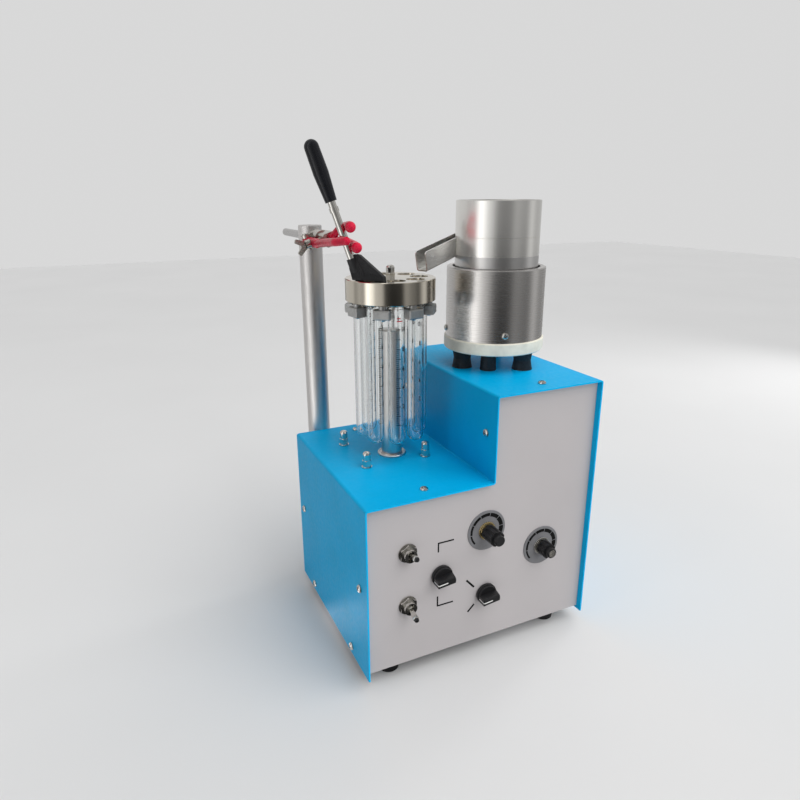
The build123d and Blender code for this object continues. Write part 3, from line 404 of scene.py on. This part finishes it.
def line_box(a, b, wide):
    """The outline of a straight line of some width, square at its ends."""
    way = Vector((b[0] - a[0], b[1] - a[1]))
    side = Vector((-way.y, way.x)).normalized() * wide / 2
    return [(a[0] - side.x, a[1] - side.y), (b[0] - side.x, b[1] - side.y),
            (b[0] + side.x, b[1] + side.y), (a[0] + side.x, a[1] + side.y)]


def joined(name, things):
    """One object made of several, in the same frame."""
    built = bmesh.new()
    for thing in things:
        built.from_mesh(thing.data)
    mesh = bpy.data.meshes.new(name)
    built.to_mesh(mesh)
    built.free()
    for thing in things:
        bpy.data.objects.remove(thing)
    return new_object(name, mesh)


# Geometry Nodes

def node_group(name, inputs):
    group = bpy.data.node_groups.new(name, "GeometryNodeTree")
    group.interface.new_socket("Geometry", in_out="INPUT", socket_type="NodeSocketGeometry")
    for label, kind, value in inputs:
        socket = group.interface.new_socket(label, in_out="INPUT", socket_type=kind)
        if value is not None:
            socket.default_value = value
    group.interface.new_socket("Geometry", in_out="OUTPUT", socket_type="NodeSocketGeometry")
    entry = group.nodes.new("NodeGroupInput")
    leave = group.nodes.new("NodeGroupOutput")
    return group, entry, leave


def add(group, kind, links=None, **settings):
    """Adds a node; links gives {input name or index: socket or value}."""
    node = group.nodes.new(kind)
    for key, value in settings.items():
        setattr(node, key, value)
    for key, value in (links or {}).items():
        if isinstance(value, bpy.types.NodeSocket):
            group.links.new(value, node.inputs[key])
        else:
            node.inputs[key].default_value = value
    return node


def finish_group(group, leave, geometry, finish):
    real = add(group, "GeometryNodeRealizeInstances", {"Geometry": geometry})
    dressed = add(group, "GeometryNodeSetMaterial",
                  {"Geometry": real.outputs["Geometry"], "Material": finish.material})
    group.links.new(dressed.outputs["Geometry"], leave.inputs["Geometry"])


def finished_mesh(thing):
    """The plain mesh that an object's modifiers make."""
    bpy.context.view_layer.update()
    graph = bpy.context.evaluated_depsgraph_get()
    return bpy.data.meshes.new_from_object(thing.evaluated_get(graph), depsgraph=graph)


def grown(name, seed, group, values, finish):
    """Runs a node group on a seed object and returns the plain mesh it makes."""
    modifier = seed.modifiers.new("grow", "NODES")
    modifier.node_group = group
    sockets = {item.name: item.identifier for item in group.interface.items_tree
               if item.item_type == "SOCKET" and item.in_out == "INPUT"}
    for label, value in values.items():
        modifier[sockets[label]] = value
    mesh = finished_mesh(seed)
    mesh.name = name
    mesh.materials.clear()
    mesh.materials.append(finish.material)
    for face in mesh.polygons:
        face.material_index = 0
    bpy.data.objects.remove(seed)
    return new_object(name, mesh)


# Screws: one cross headed screw, repeated wherever the case has one

def screw_head():
    """A domed head with a cross cut into it, standing on the origin and facing up."""
    r, h = 3.8, 2.6
    dome = [(0.0, 0.0), (r - 0.1, 0.0), (r, 0.15)]
    for i in range(9):
        a = math.radians(90 * i / 8)
        dome.append((r * math.cos(a) ** 0.75 if i < 8 else 0.0, 0.5 + (h - 0.5) * math.sin(a)))
    head = lathe("screw_head_form", dome, None, 40)
    arms = []
    for turn in (0, 90):
        place = turned("Z", turn) @ Matrix.Translation((0, 0, 0.0015))
        arms.append(strip(line_box((-2.1, 0), (2.1, 0), 0.95), 2.0, place))
    for bar in arms:
        cut = head.modifiers.new("cross", "BOOLEAN")
        cut.object = bar
        cut.solver = "EXACT"
    mesh = finished_mesh(head)
    for thing in [head] + arms:
        bpy.data.objects.remove(thing)
    return new_object("screw_head_form", mesh)


def screw_places():
    """Place, facing and size of each screw on the case, the drum and the power inlet."""
    rows = []
    for y in (DECK_SCREW_INSET, CASE_D - DECK_SCREW_INSET):
        rows += [((STEP_X / 2, y, LOW_DECK), UP, 1.0), (((STEP_X + CASE_W) / 2, y, HIGH_DECK), UP, 1.0),
                 ((0, y, SIDE_SCREW_Z), LEFT, 1.0), ((CASE_W, y, SIDE_SCREW_Z), RIGHT, 1.0),
                 ((STEP_X, y, STEP_SCREW_Z), LEFT, 1.0)]
    for y in (LOW_SCREW_INSET, CASE_D - LOW_SCREW_INSET):
        rows += [((0, y, LOW_SCREW_Z), LEFT, 1.0), ((CASE_W, y, LOW_SCREW_Z), RIGHT, 1.0)]
    for angle in DRUM_SCREW_ANGLES:
        c, s = math.cos(math.radians(angle)), math.sin(math.radians(angle))
        x, y = DRUM_AXIS[0] + DRUM_R * c, DRUM_AXIS[1] + DRUM_R * s
        rows.append(((x, y, DRUM_SCREW_Z), (c, s, 0), 0.85))
    for x in INLET_SCREWS_X:
        rows.append(((x, INLET_SCREW_Y, INLET_SCREW_Z), REARWARD, 0.7))
    for x in FOOT_SCREWS_X:
        for y in (FOOT_SCREW_INSET, CASE_D - FOOT_SCREW_INSET):
            rows.append(((x, y, FOOT_SCREW_Z), DOWN, 1.0))
    return rows


def screw_group():
    group, entry, leave = node_group("repeat_screw_heads", [("Screw", "NodeSocketObject", None)])
    facing = add(group, "GeometryNodeInputNamedAttribute", {"Name": "facing"}, data_type="FLOAT_VECTOR")
    size = add(group, "GeometryNodeInputNamedAttribute", {"Name": "size"}, data_type="FLOAT")
    turn = add(group, "FunctionNodeAlignRotationToVector", {"Vector": facing.outputs["Attribute"]}, axis="Z")
    form = add(group, "GeometryNodeObjectInfo", {"Object": entry.outputs["Screw"]})
    copies = add(group, "GeometryNodeInstanceOnPoints",
                 {"Points": entry.outputs["Geometry"], "Instance": form.outputs["Geometry"],
                  "Rotation": turn.outputs["Rotation"], "Scale": size.outputs["Attribute"]})
    finish_group(group, leave, copies.outputs["Instances"], STEEL)
    return group


def point_seed(name, rows):
    mesh = bpy.data.meshes.new(name)
    mesh.from_pydata([tuple(at(*row[0])) for row in rows], [], [])
    mesh.attributes.new("facing", "FLOAT_VECTOR", "POINT")
    mesh.attributes.new("size", "FLOAT", "POINT")
    for i, row in enumerate(rows):
        mesh.attributes["facing"].data[i].vector = row[1]
        mesh.attributes["size"].data[i].value = row[2]
    return new_object(name, mesh)


def make_screws():
    form = screw_head()
    heads = grown("case_screw_heads", point_seed("screw_seed", screw_places()), screw_group(),
                  {"Screw": form}, STEEL)
    bpy.data.objects.remove(form)
    fitted(heads, None, "housing")
    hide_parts("case_screws")


# Printed marks on the panel and the dials

def make_panel_marks():
    """The brackets and short strokes beside the selector knobs."""
    lines = [((71.8, 110.8), (71.8, 120.4), 1.5), ((71.4, 120.0), (87.6, 120.0), 1.5),
             ((71.7, 64.7), (71.7, 54.1), 1.5), ((71.3, 54.5), (88.2, 54.5), 1.5),
             ((102.2, 72.9), (110.7, 63.3), 1.9), ((111.4, 44.2), (104.5, 37.4), 1.9)]
    face = on_panel(0, 0, PRINT_GAP)
    marks = [strip(line_box(a, b, wide), PRINT_T, face) for a, b, wide in lines]
    fitted(joined("panel_marks", marks), INK, "housing")


def arc_band(r_in, r_out, start, end, steps):
    """The outline of a band between two radii and two angles."""
    angles = [math.radians(start + (end - start) * i / steps) for i in range(steps + 1)]
    outer = [(r_out * math.cos(a), r_out * math.sin(a)) for a in angles]
    inner = [(r_in * math.cos(a), r_in * math.sin(a)) for a in reversed(angles)]
    return outer + inner


def make_dial_marks():
    """Seven bands round each dial, each deeper than the one before."""
    for number, (x, z) in enumerate(DIALS):
        face = on_panel(x, z, DIAL_T + PRINT_GAP)
        bands = []
        for i in range(7):
            start = 222.0 - i * 36.0
            inside = DIAL_SCALE_R - (1.8 + 0.45 * i)
            bands.append(strip(arc_band(inside, DIAL_SCALE_R, start, start - 33.6, 8), PRINT_T, face))
        fitted(joined(f"dial_scale_{number + 1}", bands), INK, "housing")


def make_pointers():
    """A white line along each selector knob's bar and down the bar's end."""
    top, end = KNOB_FACE + 0.02, 10.02
    path = (((0.5, top), (0, 0.07)), ((end - 0.75, top), (0.03, 0.07)), ((end, top - 0.75), (0.07, 0.03)),
            ((end, 5.4), (0.07, 0)))
    points, faces = [], []
    for (u, w), (lift_u, lift_w) in path:
        for v in (-0.5, 0.5):
            points += [(u / 1000, v / 1000, w / 1000), ((u + lift_u) / 1000, v / 1000, (w + lift_w) / 1000)]
    for a in (0, 4, 8):
        b = a + 4
        faces += [(a + 1, a + 3, b + 3, b + 1), (a, b, b + 2, a + 2), (a, a + 1, b + 1, b),
                  (a + 2, b + 2, b + 3, a + 3)]
    faces += [(0, 2, 3, 1), (12, 13, 15, 14)]
    for x, z, body in SELECTORS:
        place = on_panel(x, z, SKIRT_GAP, POINTER_ANGLE)
        line = mesh_object(body.replace("_set", "_pointer"), points, faces, place)
        fitted(line, WHITE_INK, body)


def make_levers():
    """A bat shaped lever with a black tip on each toggle switch."""
    bat = [(0.0, -3.5), (2.0, -3.0), (3.3, -1.4), (3.5, 0.0), (3.3, 1.4), (2.5, 2.6), (2.0, 3.4), (2.1, 5.0),
           (2.7, 12.6), (2.75, 13.8), (2.5, 14.5), (1.9, 14.8), (0.0, 14.8)]
    end = [(0.0, 14.6), (1.9, 14.6), (2.1, 15.0), (2.15, 15.8), (1.9, 16.6), (1.3, 16.95), (0.0, 17.0)]
    for z, lean, body in TOGGLES:
        name = body.replace("_set", "")
        place = placed(TOGGLE_X, TOGGLE_PIVOT_Y, CASE_Z + z, turned("X", 90 - lean))
        lever = fitted(lathe(name + "_bat", bat, place, 40), CHROME, body)
        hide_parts(name)
        fitted(lathe(name + "_tip", end, place, 32), PLASTIC, body)


def make_shaft_washers():
    washer = [(6.5, 0.02), (8.6, 0.02), (8.75, 0.2), (8.75, 1.0), (8.5, 1.25), (7.6, 1.35), (6.5, 1.3)]
    kinds = (("brass_shaft_washer", BRASS), ("steel_shaft_washer", CHROME))
    for (x, z), (name, finish) in zip(DIALS, kinds):
        fitted(lathe(name, washer, on_panel(x, z, DIAL_T), 56), finish, "housing")


def make_knob_cap():
    """The plated disc in the face of the feed rate knob."""
    disc = [(0.0, 0.0), (3.6, 0.0), (3.6, 0.14), (3.3, 0.3), (0.0, 0.34)]
    cap = lathe("feed_rate_cap", disc, on_panel(*DIALS[1], FEED_KNOB_OUT), 48)
    fitted(cap, CAST, "feed_rate_set")


# Graduated tubes: ticks and plain numbers wrapped round the glass

def rolled(thing, gap):
    """Rolls a flat mesh, X across and Z up, round an upright axis at a gap from the glass."""
    radius = (TUBE_R + gap) / 1000
    for v in thing.data.vertices:
        a = v.co.x / radius
        r = radius + abs(v.co.y)
        v.co = Vector((r * math.cos(a), r * math.sin(a), v.co.z))
    return thing


def rolled_dash(name, start, length, middle, wide, gap):
    """A level dash printed round the glass, cut into cells so that it follows the curve."""
    low = [(start + length * i / DASH_CELLS, middle - wide / 2) for i in range(DASH_CELLS + 1)]
    high = [(u, middle + wide / 2) for u, v in reversed(low)]
    return rolled(strip(low + high, TUBE_PRINT_T, turned("X", 90), name), gap)


def scale_group():
    inputs = [("Short Tick", "NodeSocketObject", None), ("Long Tick", "NodeSocketObject", None),
              ("Tick Count", "NodeSocketInt", 51), ("Tick Pitch", "NodeSocketFloat", 0.0018),
              ("Long Every", "NodeSocketInt", 5)]
    group, entry, leave = node_group("graduate_tubes", inputs)
    pitch = add(group, "ShaderNodeCombineXYZ", {"Z": entry.outputs["Tick Pitch"]})
    ladder = add(group, "GeometryNodeMeshLine",
                 {"Count": entry.outputs["Tick Count"], "Offset": pitch.outputs["Vector"]})
    index = add(group, "GeometryNodeInputIndex")
    rest = add(group, "ShaderNodeMath", {0: index.outputs["Index"], 1: entry.outputs["Long Every"]},
               operation="MODULO")
    is_long = add(group, "FunctionNodeCompare", {0: rest.outputs["Value"], 1: 0.5},
                  data_type="FLOAT", operation="LESS_THAN")
    is_short = add(group, "FunctionNodeBooleanMath", {0: is_long.outputs["Result"]}, operation="NOT")
    both = add(group, "GeometryNodeJoinGeometry")
    kinds = (("Short Tick", is_short.outputs["Boolean"]), ("Long Tick", is_long.outputs["Result"]))
    for label, chosen in kinds:
        form = add(group, "GeometryNodeObjectInfo", {"Object": entry.outputs[label]})
        row = add(group, "GeometryNodeInstanceOnPoints",
                  {"Points": ladder.outputs["Mesh"], "Instance": form.outputs["Geometry"],
                   "Selection": chosen})
        group.links.new(row.outputs["Instances"], both.inputs["Geometry"])
    spin = add(group, "GeometryNodeInputNamedAttribute", {"Name": "facing"}, data_type="FLOAT_VECTOR")
    copies = add(group, "GeometryNodeInstanceOnPoints",
                 {"Points": entry.outputs["Geometry"], "Instance": both.outputs["Geometry"],
                  "Rotation": spin.outputs["Attribute"]})
    finish_group(group, leave, copies.outputs["Instances"], INK)
    return group


def tube_places():
    """Where each tube's scale starts on its axis, and how the tube is turned."""
    turns = (-17, 30, 150, 95, 200, 160, 120, 62)
    rows = []
    for i in range(TUBE_COUNT):
        angle = FIRST_TUBE + 360.0 / TUBE_COUNT * i
        x = SPINDLE[0] + TUBE_CIRCLE * math.cos(math.radians(angle))
        y = SPINDLE[1] + TUBE_CIRCLE * math.sin(math.radians(angle))
        rows.append(((x, y, SCALE_Z), angle + turns[i]))
    return rows


def number_mesh(text):
    curve = bpy.data.curves.new("number", "FONT")
    curve.body = text
    curve.size = 0.0058
    curve.offset = 0.00018
    curve.align_x = "CENTER"
    curve.align_y = "CENTER"
    curve.extrude = 0.00001
    curve.resolution_u = 3
    holder = new_object("number", curve)
    bpy.context.view_layer.update()
    mesh = bpy.data.meshes.new_from_object(holder)
    bpy.data.objects.remove(holder)
    return mesh


def make_tube_graduations():
    forms = {"Short Tick": rolled_dash("short_tick", 0.0, 2.4, 0.0, 0.42, PRINT_GAP),
             "Long Tick": rolled_dash("long_tick", 0.0, 4.2, 0.0, 0.6, PRINT_GAP)}
    rows = tube_places()
    mesh = bpy.data.meshes.new("tube_seed")
    mesh.from_pydata([tuple(at(*place)) for place, spin in rows], [], [])
    facing = mesh.attributes.new("facing", "FLOAT_VECTOR", "POINT")
    for i, (place, spin) in enumerate(rows):
        facing.data[i].vector = (0, 0, math.radians(spin))
    marks = grown("tube_graduations", new_object("tube_seed", mesh), scale_group(), forms, INK)
    for form in forms.values():
        bpy.data.objects.remove(form)
    fitted(marks, None, "collector")


def make_tube_print():
    """The even numbers beside the long ticks, and two red bars over them."""
    numbers, bars = [], []
    for place, spin in tube_places():
        here = placed(*place, turned("Z", spin))
        for k in range(1, 6):
            mesh = number_mesh(str(2 * k))
            mesh.transform(turned("X", 90))
            mesh.transform(Matrix.Translation((NUMBER_ACROSS / 1000, 0, NUMBER_PITCH * k / 1000)))
            numbers.append(rolled(new_object("tube_number", mesh), NUMBER_GAP))
            mesh.transform(here)
        for k, length in enumerate((5.2, 3.4)):
            bar = rolled_dash("write_on_bar", 1.0, length, BAR_Z + BAR_PITCH * k, 1.0, NUMBER_GAP)
            bar.data.transform(here)
            bars.append(bar)
    fitted(joined("tube_numbers", numbers), INK, "collector")
    fitted(joined("tube_write_on_bars", bars), RED_INK, "collector")


# Brush: bristles that follow the flat head from its neck to its edge

def bristle_paths():
    """Three points of each bristle, from the neck to the edge, on both faces of the flat head."""
    random.seed(4)
    left = [(-5.2, 21.3), (-3.4, 9.2), (0.3, 0.15)]
    right = [(4.0, 22.2), (29.1, 4.4), (30.0, 0.15)]
    paths = []
    for face in (-1, 1):
        for i in range(BRISTLES_A_FACE):
            t = (i + random.uniform(-0.3, 0.3)) / (BRISTLES_A_FACE - 1)
            t = min(1.0, max(0.0, t))
            lift = 3.0 + random.uniform(-0.05, 0.12)
            path = []
            for (u0, w0), (u1, w1) in zip(left, right):
                path.append(Vector((u0 + (u1 - u0) * t, face * lift, w0 + (w1 - w0) * t)) / 1000)
            paths.append(path)
    return paths


def bristle_group():
    inputs = [("Bristle Radius", "NodeSocketFloat", 0.00022)]
    group, entry, leave = node_group("bristles_from_paths", inputs)
    curves = add(group, "GeometryNodeMeshToCurve", {"Mesh": entry.outputs["Geometry"]})
    ring = add(group, "GeometryNodeCurvePrimitiveCircle",
               {"Resolution": 5, "Radius": entry.outputs["Bristle Radius"]})
    tubes = add(group, "GeometryNodeCurveToMesh",
                {"Curve": curves.outputs["Curve"], "Profile Curve": ring.outputs["Curve"], "Fill Caps": True})
    finish_group(group, leave, tubes.outputs["Mesh"], BRISTLE)
    return group


def make_bristles():
    points, edges = [], []
    head_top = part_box("collector_head")[1].z * 1000
    place = placed(*BRUSH_PLACE, head_top + 0.3, turned("Z", BRUSH_TURN) @ turned("X", BRUSH_LEAN))
    for path in bristle_paths():
        first = len(points)
        points += [tuple(place @ p) for p in path]
        edges += [(first, first + 1), (first + 1, first + 2)]
    mesh = bpy.data.meshes.new("bristle_paths")
    mesh.from_pydata(points, edges, [])
    seed = new_object("bristle_paths", mesh)
    bristles = grown("brush_bristles", seed, bristle_group(), {}, BRISTLE)
    fitted(bristles, None, "rod_set")


make_screws()
make_panel_marks()
make_dial_marks()
make_pointers()
make_levers()
make_shaft_washers()
make_knob_cap()
make_tube_graduations()
make_tube_print()
make_bristles()


# Floor, light and camera

def azimuth_bands(tree, vector, gain, lift):
    """The brightness of MIRROR_BANDS in the direction of a vector, times a gain and plus a lift."""
    split = add(tree, "ShaderNodeSeparateXYZ", {"Vector": vector})
    angle = add(tree, "ShaderNodeMath", {0: split.outputs["Y"], 1: split.outputs["X"]}, operation="ARCTAN2")
    share = add(tree, "ShaderNodeMath", {0: angle.outputs[0], 1: 2 * math.pi}, operation="DIVIDE")
    wrap = add(tree, "ShaderNodeMath", {0: share.outputs[0], 1: 0.0, 2: 1.0}, operation="WRAP")
    ramp = add(tree, "ShaderNodeValToRGB", {"Fac": wrap.outputs[0]})
    ramp.color_ramp.interpolation = "EASE"
    while len(ramp.color_ramp.elements) < len(MIRROR_BANDS):
        ramp.color_ramp.elements.new(0.5)
    for element, (degrees, value) in zip(ramp.color_ramp.elements, MIRROR_BANDS):
        element.position = degrees / 360
        element.color = (value, value, value, 1.0)
    bright = add(tree, "ShaderNodeMath", {0: ramp.outputs["Color"], 1: gain, 2: lift},
                 operation="MULTIPLY_ADD")
    return bright.outputs[0]


def mixed(tree, share, first, second):
    links = {"Fac": share, 1: first.outputs[0], 2: second.outputs[0]}
    return add(tree, "ShaderNodeMixShader", links)


def make_floor():
    """A pale floor that glows with the bands only in glossy rays: a painted reflection that metal sees, like
    the world over it.
    """
    far, low = 4.0, -0.0002
    corners = [(-far, -far, low), (far, -far, low), (far, far, low), (-far, far, low)]
    floor = mesh_object("floor", corners, [(0, 1, 2, 3)])
    pale = Finish("pale_floor_painted_reflection", (0.72, 0.72, 0.72), 0.6)
    pale.tint(pale.noise(0.4), 0.015)
    pale.relief(pale.noise(0.002), 0.0001, 0.1)
    wear(floor, pale)
    # Painted reflection: the floor is no lamp, but glossy rays see it glow with the bands
    bands = azimuth_bands(pale.tree, pale.where, 1.1, 0.0)
    mirrored = add(pale.tree, "ShaderNodeEmission", {"Strength": bands})
    rays = add(pale.tree, "ShaderNodeLightPath")
    surface = mixed(pale.tree, rays.outputs["Is Glossy Ray"], pale.shader, mirrored)
    pale.join(surface.outputs[0], pale.tree.nodes["Material Output"].inputs["Surface"])


def make_world():
    """Even grey to the camera and through glass, bands to polished metal, and soft light to the rest."""
    world = bpy.data.worlds.new("studio")
    scene.world = world
    world.use_nodes = True
    tree = world.node_tree
    tree.nodes.clear()
    where = add(tree, "ShaderNodeTexCoord").outputs["Generated"]
    rays = add(tree, "ShaderNodeLightPath").outputs
    side = add(tree, "ShaderNodeSeparateXYZ", {"Vector": where})
    fade = add(tree, "ShaderNodeMath", {0: side.outputs["X"], 1: 0.3, 2: 0.5}, operation="MULTIPLY_ADD")
    lit = add(tree, "ShaderNodeBackground", {"Color": (1.0, 1.0, 1.0, 1.0), "Strength": fade.outputs[0]})
    seen = add(tree, "ShaderNodeBackground", {"Color": (0.69, 0.69, 0.69, 1.0)})
    mirrored = add(tree, "ShaderNodeBackground", {"Strength": azimuth_bands(tree, where, 1.0, 0.25)})
    either = add(tree, "ShaderNodeMath", {0: rays["Is Camera Ray"], 1: rays["Is Transmission Ray"]},
                 operation="MAXIMUM")
    plain = mixed(tree, either.outputs[0], lit, seen)
    surface = mixed(tree, rays["Is Glossy Ray"], plain, mirrored)
    add(tree, "ShaderNodeOutputWorld", {"Surface": surface.outputs[0]})


def lamp(name, place, aim, size, power):
    """A soft rectangular lamp that lights the object but isn't mirrored in it."""
    data = bpy.data.lights.new(name, "AREA")
    data.shape = "RECTANGLE"
    data.size, data.size_y = size
    data.energy = power
    thing = new_object(name, data)
    thing.visible_glossy = False
    thing.location = place
    thing.rotation_euler = (Vector(aim) - Vector(place)).to_track_quat("-Z", "Y").to_euler()


def sky_light(way, strength, spread):
    """A wide even light from one side, soft edged like a large ceiling panel."""
    data = bpy.data.lights.new("even_ceiling_light", "SUN")
    data.energy = strength
    data.angle = math.radians(spread)
    thing = new_object("even_ceiling_light", data)
    thing.visible_glossy = False
    thing.rotation_euler = Vector(way).to_track_quat("Z", "Y").to_euler()


def make_camera():
    """Stands where the straight edges of the case put the camera of the photo."""
    yaw, pitch, roll = (math.radians(a) for a in (CAMERA_YAW, CAMERA_PITCH, CAMERA_ROLL))
    level = math.cos(pitch)
    ahead = Vector((math.sin(yaw) * level, math.cos(yaw) * level, -math.sin(pitch)))
    level_right = Vector((math.cos(yaw), -math.sin(yaw), 0.0))
    level_up = level_right.cross(ahead)
    right = math.cos(roll) * level_right + math.sin(roll) * level_up
    up = -math.sin(roll) * level_right + math.cos(roll) * level_up
    data = bpy.data.cameras.new("photo_camera")
    data.lens = CAMERA_LENS
    data.sensor_width = 36.0
    camera = new_object("photo_camera", data)
    turn = Matrix((right, up, -ahead)).transposed().to_4x4()
    camera.matrix_world = Matrix.Translation(CAMERA_PLACE) @ turn
    scene.camera = camera


make_floor()
make_world()
sky_light((0.35, -0.55, 1.0), 1.5, 55)
middle = (0, 0, 0.25)
lamp("left_strip", (-1.1, -0.35, 0.75), middle, (0.22, 1.3), 1.0)
lamp("front_strip", (0.1, -1.5, 0.8), middle, (0.3, 1.3), 4)
lamp("right_strip", (1.2, 0.3, 0.8), middle, (0.25, 1.2), 3)
make_camera()
scene.view_settings.view_transform = "Standard"
